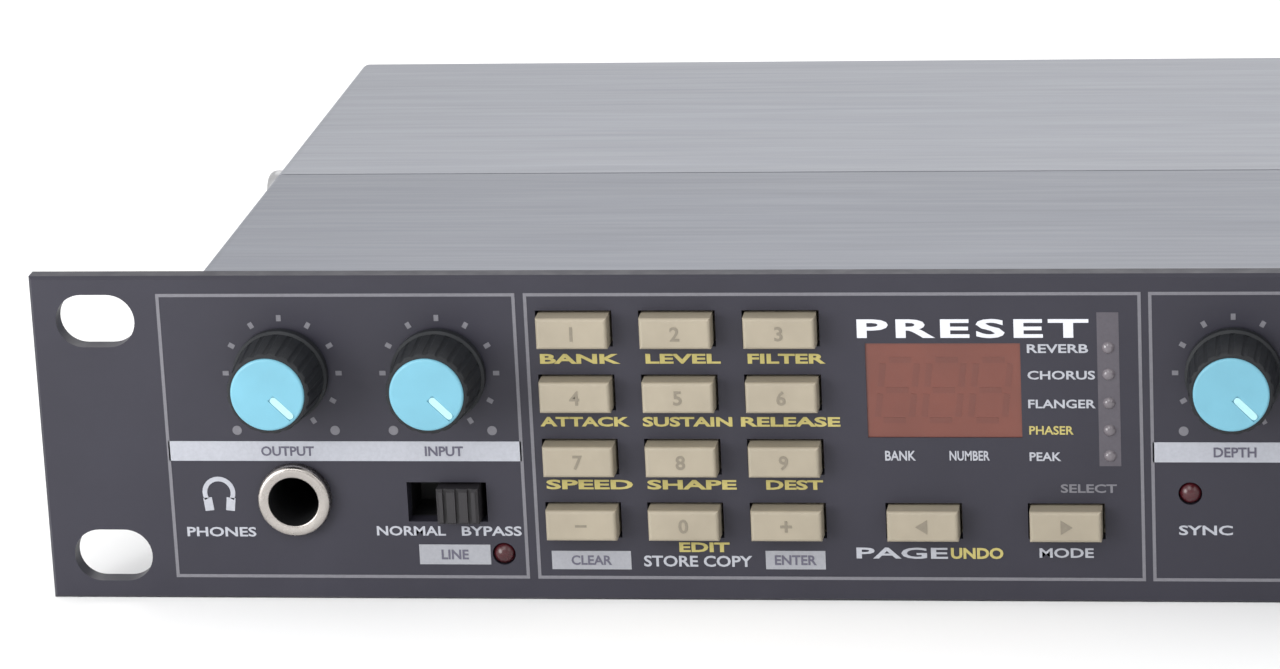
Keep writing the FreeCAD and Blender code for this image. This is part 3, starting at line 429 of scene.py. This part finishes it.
KNOB_TITLES = ("OUTPUT", "INPUT", "DEPTH", "RATE", "DELAY", "TONE", "BLEND")
WHITE_BOXES = (
    ("LINE", 53.35, 6.2, 9.3, 2.7), ("CLEAR", 71.1, 5.5, 10.3, 2.5), ("ENTER", 97.5, 5.6, 7.7, 2.5),
)
WHITE_WORDS = (
    ("PHONES", 22.9, 9.2, 9.1), ("NORMAL", 47.8, 9.4, 9.0), ("BYPASS", 58.3, 9.4, 7.8),
    ("STORE COPY", 84.9, 5.4, 14.0), ("BANK", 111.4, 19.7, 3.9), ("NUMBER", 120.2, 19.7, 5.1),
    ("PAGE", 111.2, 6.6, 11.7), ("MODE", 132.2, 6.7, 6.9),
)
YELLOW_ROWS = (
    (("BANK", "LEVEL", "FILTER"), 32.6, (10.3, 9.6, 9.9)),
    (("ATTACK", "SUSTAIN", "RELEASE"), 24.2, (11.5, 11.5, 12.7)),
    (("SPEED", "SHAPE", "DEST"), 15.75, (11.2, 11.5, 7.3)),
)
STATUS_TITLES = (("REVERB", 7.7), ("CHORUS", 8.5), ("FLANGER", 8.5), ("PHASER", 5.7), ("PEAK", 4.0))
STATUS_LEFT = 127.8
STATUS_BAND = (138.0, 28.5, 2.75, 20.3)
LAMP_WORDS = ("SYNC", "ON", "TAP", "CUT", "WET")
METER_LEVELS = ("-30", "-24", "-18", "-12", "-9", "-6", "-3", "0")
LIST_NAMES = ("ROOM", "HALL", "PLATE", "CHURCH", "SPRING", "GATE", "CHORUS", "FLANGE", "PHASE", "ROTARY",
              "PAN", "DELAY", "ECHO", "DOUBLE", "PITCH", "DRIVE")


def from_left(point):
    """A frame place as a distance from the panel's left edge."""
    return point.x - PANEL_LOW.x


def headphones(sign, x, z):
    """Headphone sign: a round bow with a pad at each end."""
    sign.arc(x, z + 0.35, 1.85, 0.62, -28, 208)
    for side in (-1, 1):
        sign.stroke((x + side * 1.55, z - 0.35), (x + side * 1.35, z - 2.1), 1.15)


def front_lines():
    """Thin grey section frames, dial scales and the faint word over the right-hand key."""
    lines = Print(FRONT_ORIGIN)
    for left, right in SECTIONS:
        lines.frame(left, right, *FRAME_Z, LINE_W)
    for knob in KNOBS:
        x = from_left(knob)
        for angle in range(-DIAL_END, DIAL_END + 1, DIAL_STEP):
            away = Vector((math.sin(math.radians(angle)), math.cos(math.radians(angle))))
            ends = [away * (DIAL_R + share * DIAL_TICK) for share in (-0.5, 0.5)]
            lines.stroke(*((x + end.x, knob.z + end.y) for end in ends), DIAL_W)
        for side in (-1, 1):
            lines.disc(x + side * DOT_SIDE, knob.z - DOT_DROP, DOT_R)
    lines.words("SELECT", 135.2, 15.35, TINY, 7.1)
    lines.build("legend_frames", "chassis", "panel_paint", INK_GREY)


def front_bars():
    """White title bars and duller boxes, with their dark wording."""
    bars, boxes = Print(FRONT_ORIGIN), Print(FRONT_ORIGIN)
    names = Print((FRONT_ORIGIN[0], FACE_Y - INK_T, FRONT_ORIGIN[2]))
    for left, right in (SECTIONS[0], SECTIONS[2], SECTIONS[3]):
        bars.bar((left + right) / 2, BAR_Z, right - left, BAR_H)
    for knob, title in zip(KNOBS, KNOB_TITLES):
        names.words(title, from_left(knob), BAR_Z, SMALL)
    names.words("INPUT LEVEL", from_left((METER_LAMPS[0] + METER_LAMPS[-1]) / 2), BAR_Z, SMALL)
    names.words("PRESET LIST", LIST_LEFT + 1.5 * LIST_PITCH_X, BAR_Z, SMALL)
    for title, x, z, width, height in WHITE_BOXES:
        boxes.bar(x, z, width, height)
        names.words(title, x, z, SMALL)
    bars.build("legend_bars", "chassis", "panel_paint", INK_WHITE)
    boxes.build("legend_boxes", "chassis", "panel_paint", INK_BOX)
    names.build("legend_bar_names", "chassis", "panel_paint", INK_DARK)


def front_words():
    """Light wording on the paint: functions, lamp names, meter levels and the preset list."""
    light = Print(FRONT_ORIGIN)
    headphones(light, 22.9, 14.2)
    for title, x, z, width in WHITE_WORDS:
        light.words(title, x, z, MEDIUM if width > 11 else SMALL, width)
    for i, (lamp, (title, width)) in enumerate(zip(STATUS_LAMPS, STATUS_TITLES)):
        if i != YELLOW_STATUS:
            light.words(title, STATUS_LEFT + width / 2, lamp.z - 0.1, TINY, width)
    for lamp, title in zip(EFFECT_LAMPS, LAMP_WORDS):
        width = 6.8 if title == "SYNC" else None
        light.words(title, from_left(lamp) + LAMP_WORD_SHIFT, lamp.z - LAMP_WORD_DROP, SMALL, width)
    for lamp, level in zip(METER_LAMPS, METER_LEVELS):
        light.words(level, from_left(lamp), lamp.z - METER_WORD_DROP, SMALL)
    for i, title in enumerate(LIST_NAMES):
        column, row = divmod(i, LIST_ROWS)
        x, z = LIST_LEFT + column * LIST_PITCH_X, LIST_TOP - row * LIST_PITCH_Z
        light.words("%02d" % (i + 1), x + LIST_NUMBER_X, z, SMALL)
        light.words(title, x + LIST_NAME_X, z, SMALL, to_right=True)
    light.build("legend_words", "chassis", "panel_paint", INK_WHITE)
    title = Print(FRONT_ORIGIN)
    title.words("PRESET", 121.0, 36.55, 2.5, 29.2, heavy=HEAVY, spacing=1.18)
    title.build("legend_title", "chassis", "panel_paint", INK_BRIGHT)
    band = Print(FRONT_ORIGIN, thick=INK_T / 2)
    band.bar(*STATUS_BAND)
    band.build("legend_status_band", "chassis", "panel_paint", INK_SHADE)


def front_yellow():
    """Yellow second functions below the keys, and the one yellow lamp name."""
    yellow = Print(FRONT_ORIGIN)
    for row, (titles, z, widths) in enumerate(YELLOW_ROWS):
        for column, (title, width) in enumerate(zip(titles, widths)):
            key = KEYS["key_%02d" % (row * 3 + column + 1)]
            x = from_left(key) + YELLOW_SHIFT + row * YELLOW_ROW_SHIFT
            yellow.words(title, x, z, SMALL, width, heavy=HEAVIEST)
    yellow.words("EDIT", 85.8, 7.3, SMALL, 6.5, heavy=HEAVIEST)
    yellow.words("UNDO", 120.8, 6.6, MEDIUM, 6.7, heavy=HEAVIEST)
    title, width = STATUS_TITLES[YELLOW_STATUS]
    yellow.words(title, STATUS_LEFT + width / 2, STATUS_LAMPS[YELLOW_STATUS].z, TINY, 5.6)
    yellow.build("legend_yellow", "chassis", "panel_paint", INK_YELLOW)


def key_figures():
    """Dark figures on the key caps, each moving with its key."""
    tip, back, half, minus_w, minus_h, figure_h, plus_h = 0.9, 0.6, 0.95, 1.5, 0.32, 1.9, 1.5
    for name, mark in zip(KEY_NAMES, "123456789-0+<>"):
        key = KEYS[name]
        figure = Print((key.x, box_mm(name)[0].y, key.z))
        if mark in "<>":
            side = 1 if mark == ">" else -1
            figure.polygon([(side * tip, 0), (-side * back, half), (-side * back, -half)][::side])
        elif mark == "-":
            figure.bar(0, 0, minus_w, minus_h)
        else:
            figure.words(mark, 0, 0, plus_h if mark == "+" else figure_h)
        figure.build(name + "_figure", name, "key_cream", INK_KEY)


def knob_pointers():
    """Pale pointer set in the groove of each knob's cap, from near the middle to the rim."""
    start, end, half_w, deep, thick = 1.1, 3.9, 0.46, 0.15, 0.11
    aim = math.radians(-45)
    along = Vector((math.cos(aim), math.sin(aim)))
    for name, knob in zip(KNOB_NAMES, KNOBS):
        face = box_mm(name + "_cap")[0].y
        pointer = Print((knob.x, face + deep, knob.z), thick=thick)
        outline = []
        for reach, first in ((end, -90), (start, 90)):
            for step in range(7):
                turn = aim + math.radians(first + 30 * step)
                outline.append(along * reach + Vector((math.cos(turn), math.sin(turn))) * half_w)
        pointer.polygon(outline)
        pointer.build(name + "_pointer", name, "cap_blue", INK_POINTER)


def display_segments():
    """Unlit seven-segment figures that show faintly in the window."""
    low, high = box_mm("display_window")
    middle = (low + high) / 2
    digits = Print((middle.x, low.y, middle.z), thick=0.03)
    width, height, bar, slant, pitch = 4.3, 8.0, 0.75, 0.12, 5.9
    for offset in (-pitch, 0.0, pitch):
        for z in (-height / 2, 0, height / 2):
            half = width / 2 - bar
            digits.stroke((offset + z * slant - half, z), (offset + z * slant + half, z), bar)
        for side in (-1, 1):
            for z in (-height / 4, height / 4):
                half = height / 4 - bar * 0.65
                ends = [(offset + (z + e) * slant + side * width / 2, z + e) for e in (-half, half)]
                digits.stroke(*ends, bar)
    digits.build("display_segments", "chassis", "window_red", SEGMENT_RED)


front_lines()
front_bars()
front_words()
front_yellow()
key_figures()
knob_pointers()
display_segments()

# ---- small turned pieces ---------------------------------------------------------------------------
BUSH_R, BORE_R = 4.12, 3.27


def turned(profile, centre, steps=64, outward=-1):
    """Closed ring or disc from (radius, height) points turned about an axis along Y through a centre."""
    work = bmesh.new()
    rings = []
    for i in range(steps):
        t = 2 * math.pi * i / steps
        rings.append([work.verts.new(Vector((centre[0] + r * math.cos(t), centre[1] + outward * h,
                                             centre[2] + r * math.sin(t))) * MM) for r, h in profile])
    for i in range(steps):
        near, far = rings[i], rings[(i + 1) % steps]
        for j in range(len(profile)):
            k = (j + 1) % len(profile)
            work.faces.new((near[j], near[k], far[k], far[j]))
    return work


def phones_ring():
    """Plated collar of the phones jack: rolled rim, dished face and a lip at the bore."""
    low, high = box_mm("phones_jack_ring")
    centre = ((low.x + high.x) / 2, high.y, (low.z + high.z) / 2)
    rim, proud, roll_r, roll_h = (high.x - low.x) / 2, high.y - low.y, 0.55, 0.57
    shoulder = proud - 0.45
    profile = [(BUSH_R, 0), (rim, 0), (rim, shoulder)]
    for degrees in range(18, 91, 18):
        t = math.radians(degrees)
        profile.append((rim - roll_r + roll_r * math.cos(t), shoulder + roll_h * math.sin(t)))
    dish = ((3.95, 0.12), (3.7, 0.08), (3.5, 0.07), (3.34, 0.045), (BORE_R, 0.005), (BUSH_R, 0.005))
    profile += [(radius, proud + lift) for radius, lift in dish]
    work = turned(profile, centre, 96)
    ring = add_piece("phones_ring", work, "chassis", NICKEL, smooth=True)
    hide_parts("phones_jack_ring")


def rear_threads():
    """Plated threaded sleeves that show outside the nuts of the rear jacks."""
    nut_face = box_mm("rear_jack_nuts")[1].y
    reach = box_mm("rear_jack_bodies")[1].y - nut_face
    pitch, crest, root, inside, lip = 0.5, 4.72, 4.55, 4.51, 0.12
    turns = int(reach / pitch)
    profile = [(inside, 0)]
    for step in range(turns):
        profile += [(root, step * pitch + 0.02), (crest, (step + 0.5) * pitch)]
    profile += [(root, turns * pitch), (root, reach + 0.02), (4.3, reach + lip), (3.5, reach + lip),
                (BORE_R, reach + 0.01), (inside, reach + 0.01)]
    for i, jack in enumerate(REAR_JACKS):
        work = turned(profile, (jack.x, nut_face, jack.z), 64, outward=1)
        add_piece("rear_jack_%d_thread" % (i + 1), work, "chassis", NICKEL)


phones_ring()
rear_threads()

# ---- rear legends ----------------------------------------------------------------------------------
REAR_TITLE_Z, REAR_TITLE_H = 29.0, 2.0
REAR_LABEL_Z, REAR_LABEL_H = 25.0, 1.8
BRACKET_NEAR, BRACKET_FAR, BRACKET_DROP, BRACKET_W = 6.5, 17.0, 2.0, 0.3


def rear_words():
    """White wording over the rear sockets, read from behind."""
    rear = Print((0, REAR_Y, 0), BACK)
    for jack, title in zip(REAR_JACKS, ("R", "L", "R", "L")):
        rear.words(title, -jack.x, REAR_LABEL_Z - 1.0, REAR_LABEL_H)
    for pair, title in ((REAR_JACKS[:2], "OUTPUT"), (REAR_JACKS[2:], "INPUT")):
        x = -(pair[0].x + pair[1].x) / 2
        rear.words(title, x, REAR_TITLE_Z, REAR_TITLE_H)
        for side in (-1, 1):
            near, far = x + side * BRACKET_NEAR, x + side * BRACKET_FAR
            rear.stroke((near, REAR_TITLE_Z), (far, REAR_TITLE_Z), BRACKET_W)
            rear.stroke((far, REAR_TITLE_Z), (far, REAR_TITLE_Z - BRACKET_DROP), BRACKET_W)
    for socket, title in zip(DIN_SOCKETS, ("IN", "OUT", "THRU")):
        rear.words(title, -socket.x, REAR_LABEL_Z + 3.0, REAR_LABEL_H)
    rear.words("CONTROL", -DIN_SOCKETS[1].x, REAR_LABEL_Z + 6.5, REAR_TITLE_H)
    rear.words("DC IN", -centre_mm("dc_inlet").x, REAR_LABEL_Z, REAR_LABEL_H)
    rear.words("POWER", -centre_mm("power_switch_body").x, REAR_TITLE_Z + 2.0, REAR_LABEL_H)
    rear.build("legend_rear", "chassis", "rear_paint", INK_WHITE)


def rocker_marks():
    """On and off marks on the two faces of the power rocker, moving with it."""
    joints = frame["record"]["behaviour"]["joints"]
    pivot = Vector(next(joint["pos_m"] for joint in joints if joint["name"] == "power_rock")) / MM
    middle_z = centre_mm("power_rocker").z
    valley, tilt, reach, line, bar_h, ring_r = 2.0, 10, 4.3, 0.45, 3.2, 1.35
    low_point = Matrix.Rotation(math.radians(tilt), 3, "Z") @ Vector((0, valley, 0))
    for name, side, slope in (("on", 1, 2 * tilt), ("off", -1, 0)):
        face = Print((pivot.x + low_point.x, pivot.y + low_point.y, middle_z), BACK + slope)
        if name == "on":
            face.bar(-side * reach, 0, line, bar_h)
        else:
            for start in (0, 180):
                face.arc(-side * reach, 0, ring_r, line, start, start + 180)
        face.build("rocker_mark_" + name, "rocker", "rocker_plastic", INK_WHITE)


rear_words()
rocker_marks()

# ---- camera, light and floor ---------------------------------------------------------------------
CAMERA_PLACE = (-61.4, -625.2, 230.4)
CAMERA_YAW, CAMERA_PITCH, CAMERA_ROLL = -6.99, 17.17, -2.14
CAMERA_LENS, CAMERA_SHIFT = 147.2, 0.15
LIGHTS = (  # name, place, aim, size, watts
    ("side_light", (-0.55, -0.40, 0.14), (-0.22, -0.05, 0.02), 0.3, 2.1),
    ("front_light", (-0.4, -1.2, 1.3), (0, 0, 0), 1.0, 8),
    ("right_light", (1.1, -0.9, 0.9), (0, 0, 0), 0.9, 3),
    ("back_light", (0.0, 1.3, 1.2), (0, 0, 0), 1.2, 6),
)
FLOOR_REACH = 6.0


def camera():
    """Camera at the viewing angle: from the left of the middle, above, with a long lens."""
    data = bpy.data.cameras.new("view")
    data.sensor_width = 36.0
    data.lens = CAMERA_LENS
    data.shift_x = -CAMERA_SHIFT
    data.clip_start, data.clip_end = 0.01, 20
    yaw, pitch, roll = (math.radians(a) for a in (CAMERA_YAW, CAMERA_PITCH, CAMERA_ROLL))
    ahead = Vector((math.sin(yaw) * math.cos(pitch), math.cos(yaw) * math.cos(pitch), -math.sin(pitch)))
    level = Vector((math.cos(yaw), -math.sin(yaw), 0))
    up = level.cross(ahead)
    right = level * math.cos(roll) + up * math.sin(roll)
    top = up * math.cos(roll) - level * math.sin(roll)
    turn = Matrix((right, top, -ahead)).transposed().to_4x4()
    eye = bpy.data.objects.new("view", data)
    eye.matrix_world = Matrix.Translation((Vector(CAMERA_PLACE) + Vector((0, FACE_Y, 0))) * MM) @ turn
    bpy.context.scene.collection.objects.link(eye)
    bpy.context.scene.camera = eye


def softbox(name, place, aim, size, watts):
    """Square area lamp aimed at a point."""
    data = bpy.data.lights.new(name, "AREA")
    data.energy, data.size = watts, size
    lamp = bpy.data.objects.new(name, data)
    lamp.location = place
    lamp.rotation_euler = (Vector(aim) - Vector(place)).to_track_quat("-Z", "Y").to_euler()
    bpy.context.scene.collection.objects.link(lamp)


def studio():
    """Pale floor, white surroundings and soft lamps, the nearest one low at the left."""
    mesh = bpy.data.meshes.new("floor")
    corners = [(x * FLOOR_REACH, y * FLOOR_REACH, 0) for x, y in ((-1, -1), (1, -1), (1, 1), (-1, 1))]
    mesh.from_pydata(corners, [], [(0, 1, 2, 3)])
    finish = Finish("floor_white", Specular_IOR_Level=0.1)
    finish.tint(finish.noise(3, 2.0), [(0.945, 0.945, 0.945), (0.965, 0.965, 0.965)])
    finish.gloss(finish.noise(5), 0.85, 0.95)
    mesh.materials.append(finish.material)
    floor = bpy.data.objects.new("floor", mesh)
    bpy.context.scene.collection.objects.link(floor)
    world = bpy.data.worlds.new("studio")
    world.use_nodes = True
    sky = world.node_tree.nodes["Background"]
    sky.inputs["Color"].default_value = (1, 1, 1, 1)
    sky.inputs["Strength"].default_value = 0.90
    bpy.context.scene.world = world
    for light in LIGHTS:
        softbox(*light)
    bpy.context.scene.view_settings.view_transform = "Standard"


camera()
studio()
